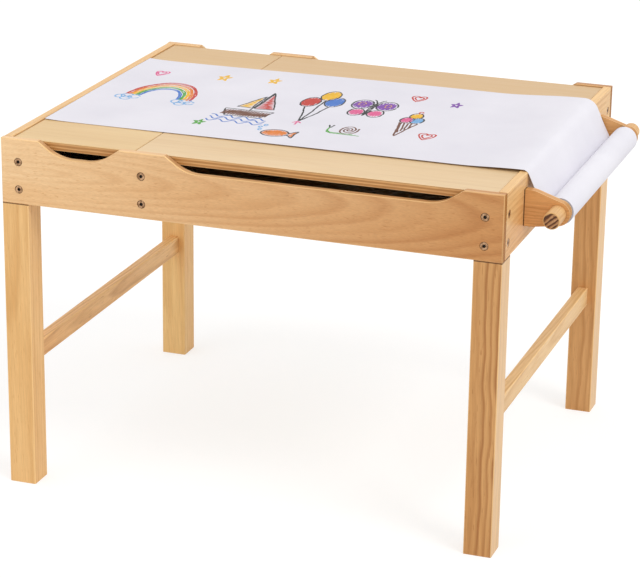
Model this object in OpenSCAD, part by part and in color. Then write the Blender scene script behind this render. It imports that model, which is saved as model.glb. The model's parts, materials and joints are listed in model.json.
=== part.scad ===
// Children's activity table: four notched legs bolted into a box of aprons, two lift-off
// lids over two storage bins, and a paper roll on a dowel at the right-hand end.
// X runs from the left end to the roll, Y from front to back, Z up from the floor.

/* [Table] */
// Width over the left and right aprons
table_w = 728; // [640:1:900]
// Depth over the front and rear aprons
table_d = 608; // [560:1:760]
// Height of the aprons' top edges above the floor
table_h = 520; // [440:1:640]

/* [Aprons] */
// Thickness of the four apron boards
board_t = 12; // [11:0.5:14]
// Height of the apron boards
apron_h = 94; // [90:1:120]
// Rounding of the outer wooden edges
edge_r = 1.5; // [1:0.25:2.5]

/* [Legs] */
// Side of the square legs
leg_w = 40; // [38:1:56]

/* [Stretchers] */
// Thickness of the side stretchers
stretcher_t = 16; // [12:0.5:19]
// Height of the side stretchers
stretcher_h = 28; // [22:1:40]
// Height of the stretchers' lower edge above the floor
stretcher_z = 177; // [100:1:260]
// Distance from the leg's outer face to the stretcher
stretcher_in = 13.5; // [6:0.5:18]
// Diameter of the wooden pins that hold the stretchers
pin_d = 6; // [5:0.5:7]
// Length of a stretcher pin
pin_l = 30; // [24:1:36]
// Height between the two pins of a joint
pin_pitch = 13; // [10:0.5:14]

/* [Hand cut-outs] */
// Depth of the cut-outs in the front and rear aprons
cut_depth = 22.5; // [20:0.5:27]
// Board left standing between each end and the first cut-out
cut_margin = 55; // [48:1:70]
// Width of the tongue left standing in front of the divider
tongue_w = 67; // [56:1:80]
// Slope of the cut-outs' ends, in degrees
cut_slope = 35; // [30:1:42]
// Radius where an end slope runs into the bottom of the cut-out
cut_r = 60; // [30:1:70]
// Radius where an end slope leaves the top edge
cut_lip_r = 6; // [3:0.5:9]

/* [Storage bins] */
// Distance from the left end to the middle of the divider
divider_x = 212; // [200:1:260]
// Thickness of the divider
divider_t = 18; // [16:0.5:22]
// Thickness of the bin floor
floor_t = 5; // [4:0.5:6]
// Height of the bin floor above the aprons' lower edge
floor_up = 8; // [7:0.5:9]
// Depth of the grooves that hold the bin floor
groove_d = 4; // [3:0.5:5]
// Width of the cleats that carry the lids
cleat_w = 15; // [14:0.5:18]
// Height of the cleats
cleat_h = 15; // [12:0.5:18]

/* [Lids] */
// Thickness of the lids
lid_t = 12; // [9:0.5:14]
// Depth of the lids below the aprons' top edges
lid_recess = 2; // [1:0.5:3]
// Gap round each lid
lid_gap = 1; // [0.6:0.1:1.4]
// Distance from the middle of the divider to the seam between the lids
seam_off = 15; // [13:0.5:17]

/* [Bolts] */
// Depth of the upper bolts below the table's top
bolt_drop = 33; // [30:0.5:36]
// Height between the bolts of a pair
bolt_pitch = 40; // [36:0.5:42]
// Diameter of the bolts
bolt_d = 6; // [5:0.5:6.5]
// Diameter of the bolt heads
head_d = 11; // [10:0.25:11.5]
// Thickness of the bolt heads
head_t = 3; // [2.5:0.25:3.5]
// Width of the hexagon socket across its flats
hex_w = 4; // [3:0.5:5]
// Depth of the hexagon socket
hex_depth = 2; // [1:0.25:2.25]
// Depth of a bolt head below the board's face
head_sink = 0.5; // [0:0.25:1]
// Room round a bolt head in its counterbore
head_room = 0.6; // [0.3:0.1:1]
// Diameter of the threaded inserts in the legs
insert_d = 9; // [8:0.25:10]
// Diameter of the barrel nuts in the divider
barrel_d = 10; // [9:0.5:11]
// Length of a barrel nut
barrel_l = 14; // [12:0.5:15.5]
// Distance from the divider's end to its barrel nuts
barrel_in = 24; // [18:1:34]

/* [Screws] */
// Diameter of the screws that hold brackets and cleats
screw_d = 4; // [3:0.25:4.5]
// Diameter of the countersunk screw heads
screw_head_d = 7.5; // [6:0.25:8]
// Length of a bracket screw
bracket_screw_l = 32; // [26:1:36]
// Height between the two screws of a bracket
bracket_screw_pitch = 18; // [14:1:20]
// Length of the cleat screws' hold in the board behind
cleat_hold = 9; // [6:0.5:10]

/* [Roll holder] */
// Thickness of the two brackets
bracket_t = 12; // [10:0.5:18]
// Height of a bracket where it meets the side apron
bracket_h = 51; // [46:1:56]
// Depth of the bracket's upper corner below the table's top
bracket_drop = 20; // [18:0.5:24]
// Length of the bracket's level base, before it tapers
bracket_lead = 13.5; // [8:0.5:18]
// Radius of the bracket's round end
bracket_end_r = 17; // [16:0.5:18.5]
// Distance from the side apron to the dowel's axis
roll_out = 47; // [44:0.5:56]
// Depth of the dowel's axis below the table's top
roll_drop = 49; // [46:0.5:52]
// Diameter of the dowel
dowel_d = 24; // [20:0.5:24.5]
// Length of the dowel outside each bracket
dowel_stub = 34; // [20:1:60]
// Room round the dowel in its bores
dowel_room = 0.25; // [0.15:0.05:0.3]

/* [Paper] */
// Width of the paper
paper_w = 381; // [305:1:400]
// Outer diameter of the roll
roll_d = 40; // [36:0.5:46]
// Thickness of the cardboard core
core_wall = 1.5; // [1:0.25:2]
// Room round the dowel in the cardboard core
core_room = 0.7; // [0.5:0.1:0.9]
// Gap between the roll's ends and the brackets
roll_side_gap = 2.5; // [1:0.5:4]
// Thickness of the drawn-out sheet
sheet_t = 0.5; // [0.4:0.1:0.8]
// Gap between the sheet and what lies under it
sheet_gap = 0.3; // [0.2:0.05:0.4]
// Gap between the left apron and the sheet's free end
sheet_end_gap = 2; // [1:0.5:20]
// Radius of the sheet's bend over the side apron
bend_r = 16; // [8:1:22]
// Length over which the sheet rises from the lid to the bend
rise_l = 105; // [70:1:130]

/* [Hidden] */
$fn = 48;

// Reach of cutting tools past the faces that they cut
over = 1;
// Room between a bolt and its clearance hole, and between a fastener and its tight hole
bolt_room = 0.2;
tight_room = 0.05;
// Wood left between the inserts of a leg's two faces
insert_apart = 0.5;
// Length of an insert that the bolt's end leaves free
insert_spare = 1.5;
// Length of bolt that stands past its barrel nut
barrel_past = 3;
// Steps of a rounded end of a cut-out, and of the sheet's curves
arc_steps = 8;
bend_steps = 10;
rise_steps = 12;
// Screws along each cleat
cleat_screws_n = 3;
// Depth by which a bracket's straight sides cut into its round end
end_cross = 0.15;
// Radius and steps of the turn from a bracket's base into its taper
bracket_turn_r = 25;
turn_steps = 4;
// Chamfer on the ends of the dowel and the pins
dowel_chamfer = 1.5;
pin_chamfer = 0.6;

apron_z = table_h - apron_h;
post_w = leg_w - board_t;
lid_top = table_h - lid_recess;
lid_under = lid_top - lid_t;
floor_z = apron_z + floor_up;
floor_top = floor_z + floor_t;
inner_d = table_d - 2 * board_t;
seam_x = divider_x - seam_off;
divider_left = divider_x - divider_t / 2;

// Bolts stand at the middle of the post behind the boards
bolt_in = board_t + post_w / 2;
bolt_heights = [table_h - bolt_drop, table_h - bolt_drop - bolt_pitch];
bore_depth = head_t + head_sink;
insert_l = bolt_in - board_t - insert_d / 2 - insert_apart;
leg_bolt_l = board_t - bore_depth + insert_l - insert_spare;
divider_bolt_l = board_t - bore_depth + barrel_in + barrel_d / 2 + barrel_past;

roll_x = table_w + roll_out;
roll_z = table_h - roll_drop;
bore_r = dowel_d / 2 + dowel_room;
core_bore_r = dowel_d / 2 + core_room;
core_r = core_bore_r + core_wall;
// The core hangs on the dowel, so the roll's axis lies a little lower
hang_z = roll_z - (core_room - sheet_gap);
roll_y0 = (table_d - paper_w) / 2;
bracket_y0 = roll_y0 - roll_side_gap - bracket_t;
bracket_ys = [bracket_y0, table_d - bracket_y0 - bracket_t];
bracket_screw_z = roll_z - bracket_screw_pitch / 2;

total_w = table_w + roll_out + max(roll_d / 2, bracket_end_r);

// Corners of the table, each with the way its leg is mirrored
corners = [[0, 0], [1, 0], [0, 1], [1, 1]];

// Puts a shape drawn from the table's front left corner into the part's frame
module placed() {
    translate([-total_w / 2, -table_d / 2, 0]) children();
}

// Draws a front left shape at the corner with these flags
module at_corner(corner) {
    translate([corner[0] * table_w, corner[1] * table_d, 0])
        mirror([corner[0], 0, 0]) mirror([0, corner[1], 0]) children();
}

// Rectangle with four round corners, its lower left corner at the origin
module round_rect(w, h, r) {
    translate([r, 0]) square([w - 2 * r, h]);
    translate([0, r]) square([w, h - 2 * r]);
    for (x = [r, w - r], y = [r, h - r]) translate([x, y]) circle(r);
}

// Rectangle with only its two lower corners rounded
module front_round_rect(w, h, r) {
    translate([r, 0]) square([w - 2 * r, h]);
    translate([0, r]) square([w, h - r]);
    for (x = [r, w - r]) translate([x, r]) circle(r);
}

// Bar with round long edges: along X, Y or Z from the origin
module bar_x(l, w, h, r) {
    rotate([90, 0, 90]) linear_extrude(l) round_rect(w, h, r);
}
module bar_y(w, l, h, r) {
    translate([0, l, 0]) rotate([90, 0, 0]) linear_extrude(l) round_rect(w, h, r);
}
module bar_z(w, d, h, r) {
    linear_extrude(h) round_rect(w, d, r);
}

// Flat board with its four upper edges eased by a chamfer
module eased_panel(w, d, h, ease) {
    intersection() {
        cube([w, d, h]);
        translate([0, d + over, 0]) rotate([90, 0, 0]) linear_extrude(d + 2 * over)
            polygon([[0, 0], [w, 0], [w, h - ease], [w - ease, h], [ease, h], [0, h - ease]]);
        translate([-over, 0, 0]) rotate([90, 0, 90]) linear_extrude(w + 2 * over)
            polygon([[0, 0], [d, 0], [d, h - ease], [d - ease, h], [ease, h], [0, h - ease]]);
    }
}

// Half of a cut-out's outline, as distance in from its end and depth below the top edge
slope_foot = cut_depth / tan(cut_slope);
lip_run = cut_lip_r * tan(cut_slope / 2);
foot_run = cut_r * tan(cut_slope / 2);
function cut_end() = concat(
    [for (i = [0:arc_steps]) let (a = cut_slope * i / arc_steps)
        [cut_lip_r * sin(a) - lip_run, cut_lip_r * (1 - cos(a))]],
    [for (i = [0:arc_steps]) let (a = cut_slope * (1 - i / arc_steps))
        [slope_foot + foot_run - cut_r * sin(a), cut_depth - cut_r * (1 - cos(a))]]
);

// A cut-out between two places along an apron, drawn in X and Z
module cut_out_2d(x0, x1) {
    end = cut_end();
    n = len(end);
    polygon(concat(
        [[x0 - lip_run, table_h + over]],
        [for (p = end) [x0 + p[0], table_h - p[1]]],
        [for (i = [n - 1:-1:0]) [x1 - end[i][0], table_h - end[i][1]]],
        [[x1 + lip_run, table_h + over]]
    ));
}

// Both cut-outs, through the thickness of a front apron
module cut_outs() {
    for (span = [[cut_margin, divider_x - tongue_w / 2],
                 [divider_x + tongue_w / 2, table_w - cut_margin]])
        translate([0, board_t + over, 0]) rotate([90, 0, 0])
            linear_extrude(board_t + 2 * over) cut_out_2d(span[0], span[1]);
}

// Counterbored bolt hole down Y from the front face, at a place along X
module bolt_hole_y(x, depth) {
    for (z = bolt_heights) translate([x, 0, z]) rotate([-90, 0, 0]) {
        translate([0, 0, -over]) cylinder(d = bolt_d + 2 * bolt_room, h = depth + over);
        translate([0, 0, -over]) cylinder(d = head_d + 2 * head_room, h = bore_depth + over);
    }
}

// The same along X from the left face, at a place along Y
module bolt_hole_x(y, depth) {
    for (z = bolt_heights) translate([0, y, z]) rotate([0, 90, 0]) {
        translate([0, 0, -over]) cylinder(d = bolt_d + 2 * bolt_room, h = depth + over);
        translate([0, 0, -over]) cylinder(d = head_d + 2 * head_room, h = bore_depth + over);
    }
}

// Hex socket bolt along +Z, its head's underside at the origin
module bolt(l) {
    difference() {
        union() {
            translate([0, 0, -head_t]) cylinder(d = head_d, h = head_t);
            cylinder(d = bolt_d, h = l);
        }
        translate([0, 0, -head_t - over])
            cylinder(d = hex_w / cos(30), h = hex_depth + over, $fn = 6);
    }
}

// Countersunk wood screw along +Z, its head's face at the origin
module screw(l) {
    head_h = (screw_head_d - screw_d) / 2;
    rotate_extrude() polygon([
        [0, 0], [screw_head_d / 2, 0], [screw_d / 2, head_h],
        [screw_d / 2, l - screw_d], [0, l]
    ]);
}

// Hole that fits a countersunk wood screw
module screw_hole(l) {
    head_h = (screw_head_d - screw_d) / 2;
    wide = tight_room;
    rotate_extrude() polygon([
        [0, -over], [screw_head_d / 2 + wide, -over], [screw_head_d / 2 + wide, 0],
        [screw_d / 2 + wide, head_h], [screw_d / 2 + wide, l - screw_d],
        [0, l + wide]
    ]);
}

// Front or rear apron: eased board with cut-outs, floor groove and bolt holes
module long_apron() {
    difference() {
        intersection() {
            translate([0, 0, apron_z]) bar_x(table_w, board_t, apron_h, edge_r);
            linear_extrude(table_h) front_round_rect(table_w, board_t, edge_r);
        }
        cut_outs();
        translate([leg_w, board_t - groove_d, floor_z])
            cube([table_w - 2 * leg_w, groove_d + over, floor_t]);
        for (x = [bolt_in, divider_x, table_w - bolt_in]) bolt_hole_y(x, board_t + over);
    }
}

// Left or right apron, between the long ones
module short_apron() {
    difference() {
        translate([0, board_t, apron_z]) bar_y(board_t, inner_d, apron_h, edge_r);
        translate([board_t - groove_d, leg_w, floor_z])
            cube([groove_d + over, table_d - 2 * leg_w, floor_t]);
        for (y = [bolt_in, table_d - bolt_in]) bolt_hole_x(y, board_t + over);
    }
}

module front_apron() {
    color("#E5B982") placed() long_apron();
}
module rear_apron() {
    color("#E5B982") placed() translate([0, table_d, 0]) mirror([0, 1, 0]) long_apron();
}
module left_apron() {
    color("#E8C08A") placed() difference() {
        short_apron();
        cleat_screw_holes(board_t + cleat_w, -1);
    }
}
module right_apron() {
    color("#F0D0A8") placed() difference() {
        translate([table_w, 0, 0]) mirror([1, 0, 0]) short_apron();
        bracket_screw_holes();
        cleat_screw_holes(table_w - board_t - cleat_w, 1);
    }
}

// Front left leg: a square post, notched behind the boards above the shoulder
module leg() {
    difference() {
        bar_z(leg_w, leg_w, lid_under, edge_r);
        translate([-over, -over, apron_z]) cube([leg_w + 2 * over, board_t + over, apron_h]);
        translate([-over, -over, apron_z]) cube([board_t + over, leg_w + 2 * over, apron_h]);
        for (z = bolt_heights) {
            translate([bolt_in, board_t - over, z]) rotate([-90, 0, 0])
                cylinder(d = insert_d + 2 * tight_room, h = insert_l + over);
            translate([board_t - over, bolt_in, z]) rotate([0, 90, 0])
                cylinder(d = insert_d + 2 * tight_room, h = insert_l + over);
        }
        pin_holes(leg_w, -1);
    }
}

// Holes for a stretcher joint's two pins, at a distance along Y and going this way
module pin_holes(y, way) {
    for (z = pin_heights) translate([pin_x, y, z]) rotate([-90 * way, 0, 0])
        translate([0, 0, -over])
            cylinder(d = pin_d + 2 * tight_room, h = pin_l / 2 + tight_room + over);
}
pin_x = stretcher_in + stretcher_t / 2;
pin_heights = [for (s = [-1, 1]) stretcher_z + stretcher_h / 2 + s * pin_pitch / 2];

module front_left_leg() {
    color("#DDB07A") placed() at_corner([0, 0]) leg();
}
module front_right_leg() {
    color("#C8935C") placed() at_corner([1, 0]) leg();
}
module rear_left_leg() {
    color("#DDB07A") placed() at_corner([0, 1]) leg();
}
module rear_right_leg() {
    color("#C8935C") placed() at_corner([1, 1]) leg();
}

// Side stretcher between the legs, at the left end
module stretcher() {
    difference() {
        translate([stretcher_in, leg_w, stretcher_z])
            bar_y(stretcher_t, table_d - 2 * leg_w, stretcher_h, edge_r);
        pin_holes(leg_w, 1);
        pin_holes(table_d - leg_w, -1);
    }
}
module left_stretcher() {
    color("#E5B982") placed() stretcher();
}
module right_stretcher() {
    color("#E5B982") placed() translate([table_w, 0, 0]) mirror([1, 0, 0]) stretcher();
}

// Divider between the bins, with bolt holes in its ends and cross holes for barrel nuts
module bin_divider() {
    hole_l = barrel_in + barrel_d / 2 + barrel_past + over;
    color("#E0BC88") placed() difference() {
        translate([divider_left, board_t, floor_top])
            cube([divider_t, inner_d, lid_under - floor_top]);
        for (z = bolt_heights, end = [0, 1])
            translate([divider_x, end * table_d, z]) mirror([0, end, 0]) {
                translate([0, board_t - over, 0]) rotate([-90, 0, 0])
                    cylinder(d = bolt_d + 2 * bolt_room, h = hole_l + over);
                translate([-divider_t / 2 - over, board_t + barrel_in, 0]) rotate([0, 90, 0])
                    cylinder(d = barrel_d + 2 * tight_room, h = divider_t + 2 * over);
            }
        cleat_screw_holes(divider_left - cleat_w, 1);
    }
}

// Floor under both bins, held in the aprons' grooves and notched round the legs
module bin_floor() {
    color("#E8D3AC") placed() difference() {
        translate([board_t - groove_d, board_t - groove_d, floor_z])
            cube([table_w - 2 * (board_t - groove_d), table_d - 2 * (board_t - groove_d), floor_t]);
        for (c = corners) at_corner(c)
            translate([0, 0, floor_z - over]) cube([leg_w, leg_w, floor_t + 2 * over]);
    }
}

// Places of the screws along a cleat
cleat_y0 = leg_w;
cleat_l = table_d - 2 * leg_w;
cleat_screw_ys = [for (i = [0:cleat_screws_n - 1])
    cleat_y0 + cleat_l * (i + 0.5) / cleat_screws_n];
cleat_screw_z = lid_under - cleat_h / 2;

// Lays a screw or its hole through a cleat, from the face at x and going this way along X
module along_cleat(x, way) {
    for (y = cleat_screw_ys) translate([x, y, cleat_screw_z]) rotate([0, 90 * way, 0]) children();
}
module cleat_screw_holes(x, way) {
    along_cleat(x, way) screw_hole(cleat_w + cleat_hold);
}

// Cleat under the lids, its left face at x
module lid_cleat(x) {
    translate([x, cleat_y0, lid_under - cleat_h]) cube([cleat_w, cleat_l, cleat_h]);
}
module left_lid_cleat() {
    color("#DDB47E") placed() difference() {
        lid_cleat(board_t);
        cleat_screw_holes(board_t + cleat_w, -1);
    }
}
module divider_lid_cleat() {
    color("#DDB47E") placed() difference() {
        lid_cleat(divider_left - cleat_w);
        cleat_screw_holes(divider_left - cleat_w, 1);
    }
}
module right_lid_cleat() {
    color("#DDB47E") placed() difference() {
        lid_cleat(table_w - board_t - cleat_w);
        cleat_screw_holes(table_w - board_t - cleat_w, 1);
    }
}

// Lid between two places along X, on its posts and cleats
module lid(x0, x1) {
    translate([x0, board_t + lid_gap, lid_under])
        eased_panel(x1 - x0, inner_d - 2 * lid_gap, lid_t, edge_r / 2);
}
module left_lid() {
    color("#E8CDA0") placed() lid(board_t + lid_gap, seam_x - lid_gap / 2);
}
module right_lid() {
    color("#EBD2A8") placed() lid(seam_x + lid_gap / 2, table_w - board_t - lid_gap);
}

// Ends of the straight tapers from a bracket's base into its round end, seen along Y. The
// corner is given from the dowel's axis; side is 1 for the upper taper, -1 for the lower.
function line_end(corner, side) =
    let (r = bracket_end_r - end_cross, l = norm(corner),
         a = atan2(corner[1], corner[0]) - side * acos(r / l))
    [r * cos(a), r * sin(a)];

// Arc that turns the level base into its taper at that corner
function taper_turn(corner, side) =
    let (end = line_end(corner, side),
         slope = atan2(side * (corner[1] - end[1]), end[0] - corner[0]),
         run = bracket_turn_r * tan(slope / 2))
    [for (i = [0:turn_steps]) let (a = slope * i / turn_steps)
        [corner[0] - run + bracket_turn_r * sin(a),
         corner[1] - side * bracket_turn_r * (1 - cos(a))]];

// Roll bracket in X and Z, from the dowel's axis
module bracket_2d() {
    top_z = roll_drop - bracket_drop;
    low_z = top_z - bracket_h;
    top = [bracket_lead - roll_out, top_z];
    low = [bracket_lead - roll_out, low_z];
    low_turn = taper_turn(low, -1);
    difference() {
        union() {
            polygon(concat(
                [[-roll_out, low_z], [-roll_out, top_z]],
                taper_turn(top, 1),
                [line_end(top, 1), [0, 0], line_end(low, -1)],
                [for (i = [turn_steps:-1:0]) low_turn[i]]
            ));
            circle(bracket_end_r);
        }
        circle(bore_r);
    }
}
module bracket(i) {
    color("#CE9A60") placed() difference() {
        translate([roll_x, bracket_ys[i] + bracket_t, roll_z]) rotate([90, 0, 0])
            linear_extrude(bracket_t) bracket_2d();
        bracket_screw_holes();
    }
}
module front_roll_bracket() { bracket(0); }
module rear_roll_bracket() { bracket(1); }

// Lays the brackets' screws through the right apron, from inside the bin
module along_brackets() {
    for (y = bracket_ys, i = [0, 1])
        translate([table_w - board_t, y + bracket_t / 2, bracket_screw_z + i * bracket_screw_pitch])
            rotate([0, 90, 0]) children();
}
module bracket_screw_holes() {
    along_brackets() screw_hole(bracket_screw_l);
}

// Round bar along +Z with chamfered ends
module chamfered_rod(d, l, ease) {
    rotate_extrude() polygon([
        [0, 0], [d / 2 - ease, 0], [d / 2, ease],
        [d / 2, l - ease], [d / 2 - ease, l], [0, l]
    ]);
}

dowel_y0 = bracket_y0 - dowel_stub;
module roll_dowel() {
    color("#D9A869") placed() translate([roll_x, dowel_y0, roll_z]) rotate([-90, 0, 0])
        chamfered_rod(dowel_d, table_d - 2 * dowel_y0, dowel_chamfer);
}

// Tube along Y between the roll's two ends
module roll_tube(r_out, r_in) {
    translate([roll_x, roll_y0, hang_z]) rotate([-90, 0, 0]) difference() {
        cylinder(r = r_out, h = paper_w);
        translate([0, 0, -over]) cylinder(r = r_in, h = paper_w + 2 * over);
    }
}
module paper_core() {
    color("#B98F63") placed() roll_tube(core_r, core_bore_r);
}
module paper_roll() {
    color("#EEEEF4") placed() roll_tube(roll_d / 2, core_r);
}

// Under side of the sheet, as [x, z, angle of its upward normal] from the free end to the roll.
// The bend is a circle that clears the side apron's rounded top edge.
bend_off = bend_r - edge_r * (1 - cos(45)) - (bend_r - sheet_gap) * cos(45);
bend_x = table_w - bend_r + bend_off;
bend_z = table_h - bend_r + bend_off;
sheet_low = lid_top + sheet_gap;
rise_h = bend_z + bend_r - sheet_low;
// The straight fall crosses between the bend and the roll
fall_x = roll_x - bend_x;
fall_z = hang_z - bend_z;
roll_side_r = roll_d / 2 + sheet_gap + sheet_t;
fall_angle = atan2(fall_z, fall_x) - asin((bend_r + roll_side_r) / norm([fall_x, fall_z]));
fall_normal = fall_angle + 90;
sheet_path = concat(
    [[board_t + sheet_end_gap, sheet_low, 90]],
    [for (i = [0:rise_steps - 1]) let (u = i / rise_steps)
        [bend_x - rise_l * (1 - u), sheet_low + rise_h * (1 - cos(180 * u)) / 2,
         90 + atan(rise_h / rise_l * 90 * sin(180 * u) * PI / 180)]],
    [for (i = [0:bend_steps]) let (a = 90 + (fall_normal - 90) * i / bend_steps)
        [bend_x + bend_r * cos(a), bend_z + bend_r * sin(a), a]],
    [[roll_x - roll_side_r * cos(fall_normal), hang_z - roll_side_r * sin(fall_normal),
      fall_normal]]
);

module paper_sheet() {
    n = len(sheet_path);
    upper = [for (p = sheet_path) [p[0] + sheet_t * cos(p[2]), p[1] + sheet_t * sin(p[2])]];
    color("#F2F2F7") placed() translate([0, roll_y0 + paper_w, 0]) rotate([90, 0, 0])
        linear_extrude(paper_w) polygon(concat(
            [for (p = sheet_path) [p[0], p[1]]],
            [for (i = [n - 1:-1:0]) upper[i]]
        ));
}

// Two pairs of bolts at a leg: one through the long apron and one through the short
module at_leg_bolts(depth) {
    for (c = corners, z = bolt_heights) at_corner(c) {
        translate([bolt_in, depth, z]) rotate([-90, 0, 0]) children();
        translate([depth, bolt_in, z]) rotate([0, 90, 0]) children();
    }
}
module leg_bolts() {
    color("#B9A48A") placed() at_leg_bolts(bore_depth) bolt(leg_bolt_l);
}
module leg_inserts() {
    color("#9C8B6B") placed() at_leg_bolts(board_t) difference() {
        cylinder(d = insert_d, h = insert_l);
        translate([0, 0, -over]) cylinder(d = bolt_d + 2 * tight_room, h = insert_l + 2 * over);
    }
}

// Places at the divider's four bolts, looking in from the aprons
module at_divider_bolts() {
    for (end = [0, 1], z = bolt_heights)
        translate([divider_x, end * table_d, z]) mirror([0, end, 0]) rotate([-90, 0, 0])
            children();
}
module divider_bolts() {
    color("#B9A48A") placed() at_divider_bolts()
        translate([0, 0, bore_depth]) bolt(divider_bolt_l);
}
module barrel_nuts() {
    color("#9C8B6B") placed() at_divider_bolts() translate([0, 0, board_t + barrel_in])
        difference() {
            rotate([0, 90, 0]) cylinder(d = barrel_d, h = barrel_l, center = true);
            cylinder(d = bolt_d + 2 * tight_room, h = barrel_d + 2 * over, center = true);
        }
}

module bracket_screws() {
    color("#A8A8A8") placed() along_brackets() screw(bracket_screw_l);
}
module cleat_screws() {
    l = cleat_w + cleat_hold;
    color("#A8A8A8") placed() {
        along_cleat(board_t + cleat_w, -1) screw(l);
        along_cleat(divider_left - cleat_w, 1) screw(l);
        along_cleat(table_w - board_t - cleat_w, 1) screw(l);
    }
}
module stretcher_pins() {
    color("#D9A869") placed() for (c = corners, z = pin_heights) at_corner(c)
        translate([pin_x, leg_w - pin_l / 2, z]) rotate([-90, 0, 0])
            chamfered_rod(pin_d, pin_l, pin_chamfer);
}

front_apron();
rear_apron();
left_apron();
right_apron();
front_left_leg();
front_right_leg();
rear_left_leg();
rear_right_leg();
left_stretcher();
right_stretcher();
bin_divider();
bin_floor();
left_lid_cleat();
divider_lid_cleat();
right_lid_cleat();
left_lid();
right_lid();
front_roll_bracket();
rear_roll_bracket();
roll_dowel();
paper_core();
paper_roll();
paper_sheet();
leg_bolts();
divider_bolts();
leg_inserts();
barrel_nuts();
bracket_screws();
cleat_screws();
stretcher_pins();
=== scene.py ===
"""Looks of the activity table: eased boards with pine grain, a sheet of drawing paper that
comes over the table's end from its roll, and a crayon drawing on it. Units are metres."""
import json
import math
import random

import bmesh
import bpy
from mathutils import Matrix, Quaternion, Vector


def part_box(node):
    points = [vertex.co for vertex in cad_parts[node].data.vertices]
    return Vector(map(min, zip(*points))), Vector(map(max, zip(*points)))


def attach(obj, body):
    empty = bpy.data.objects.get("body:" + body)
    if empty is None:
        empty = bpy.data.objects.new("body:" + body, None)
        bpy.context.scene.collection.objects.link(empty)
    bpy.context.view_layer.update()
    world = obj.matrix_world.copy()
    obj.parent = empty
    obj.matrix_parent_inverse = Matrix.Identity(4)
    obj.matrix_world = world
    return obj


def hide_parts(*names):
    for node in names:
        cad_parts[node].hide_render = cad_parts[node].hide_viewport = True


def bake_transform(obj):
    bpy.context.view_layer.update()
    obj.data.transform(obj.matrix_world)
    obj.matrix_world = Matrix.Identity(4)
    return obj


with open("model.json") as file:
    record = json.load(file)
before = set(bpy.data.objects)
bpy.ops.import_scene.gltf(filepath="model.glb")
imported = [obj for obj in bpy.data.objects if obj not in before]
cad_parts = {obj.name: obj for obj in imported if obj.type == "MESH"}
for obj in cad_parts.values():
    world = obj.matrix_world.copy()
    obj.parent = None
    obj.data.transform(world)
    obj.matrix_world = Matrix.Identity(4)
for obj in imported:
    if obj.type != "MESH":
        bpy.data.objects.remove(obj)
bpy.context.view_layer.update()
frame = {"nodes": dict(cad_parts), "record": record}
BODY_OF = {node: body for body, nodes in frame["record"]["behaviour"]["bodies"].items()
           for node in nodes}
SLOT_OF = {part["node"]: part["material_slot"] for part in frame["record"]["subparts"]}
BOX = {node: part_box(node) for node in frame["nodes"]}
MM = 0.001
CM = 0.01

# Places on the table, from the frame

TOP = BOX["front_apron"][1].z
SHOULDER = BOX["front_apron"][0].z
FRONT, REAR = BOX["front_apron"][0].y, BOX["rear_apron"][1].y
RIGHT = BOX["right_apron"][1].x
SEAM = (BOX["left_lid"][1].x + BOX["right_lid"][0].x) / 2
LID_LOW, LID_TOP = BOX["right_lid"][0].z, BOX["right_lid"][1].z
ROLL_LO, ROLL_HI = BOX["paper_roll"]
ROLL_X, ROLL_Z = (ROLL_LO.x + ROLL_HI.x) / 2, (ROLL_LO.z + ROLL_HI.z) / 2

# Camera and lamps

CAMERA_AT = Vector((1.1315, -3.3132, 1.479))
CAMERA_AZIMUTH, CAMERA_ELEVATION, CAMERA_ROLL = 19.31, 19.37, 0.81
FOCAL_PIXELS, FRAME_PIXELS, SENSOR = 2495, 640, 36.0


def aimed(name, data, azimuth, elevation, roll=0):
    """A camera's or lamp's object, turned to look from these angles, in degrees. Azimuth 0 is
    from the front and 90 from the right."""
    az, el = math.radians(azimuth), math.radians(elevation)
    back = Vector((math.sin(az) * math.cos(el), -math.cos(az) * math.cos(el), math.sin(el)))
    obj = bpy.data.objects.new(name, data)
    obj.rotation_mode = "QUATERNION"
    turn = Quaternion((0, 0, 1), math.radians(roll))
    obj.rotation_quaternion = (-back).to_track_quat("-Z", "Y") @ turn
    bpy.context.scene.collection.objects.link(obj)
    return obj


def make_camera():
    cam = bpy.data.cameras.new("camera")
    cam.sensor_fit = "HORIZONTAL"
    cam.sensor_width = SENSOR
    cam.lens = FOCAL_PIXELS / FRAME_PIXELS * SENSOR
    cam.clip_start, cam.clip_end = 0.05, 60
    obj = aimed("camera", cam, CAMERA_AZIMUTH, CAMERA_ELEVATION, CAMERA_ROLL)
    obj.location = CAMERA_AT
    bpy.context.scene.camera = obj


def make_sun(name, azimuth, elevation, strength, width):
    """A soft sun; width is how many degrees of the sky it fills."""
    sun = bpy.data.lights.new(name, "SUN")
    sun.energy, sun.angle = strength, math.radians(width)
    aimed(name, sun, azimuth, elevation)


# Material helpers

PAINTED_LIGHT_LAYER = "painted_light_and_shade"  # the face attribute for painted light: how much painted highlight (up to 1) or painted shade (to -1) a face gets


def linear(text):
    """A colour written as #RRGGBB, as linear RGBA."""
    shares = [int(text[i:i + 2], 16) / 255 for i in (1, 3, 5)]
    return (*[c / 12.92 if c <= 0.04045 else ((c + 0.055) / 1.055) ** 2.4 for c in shares], 1)


def grey(value):
    return (value, value, value, 1)


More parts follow.
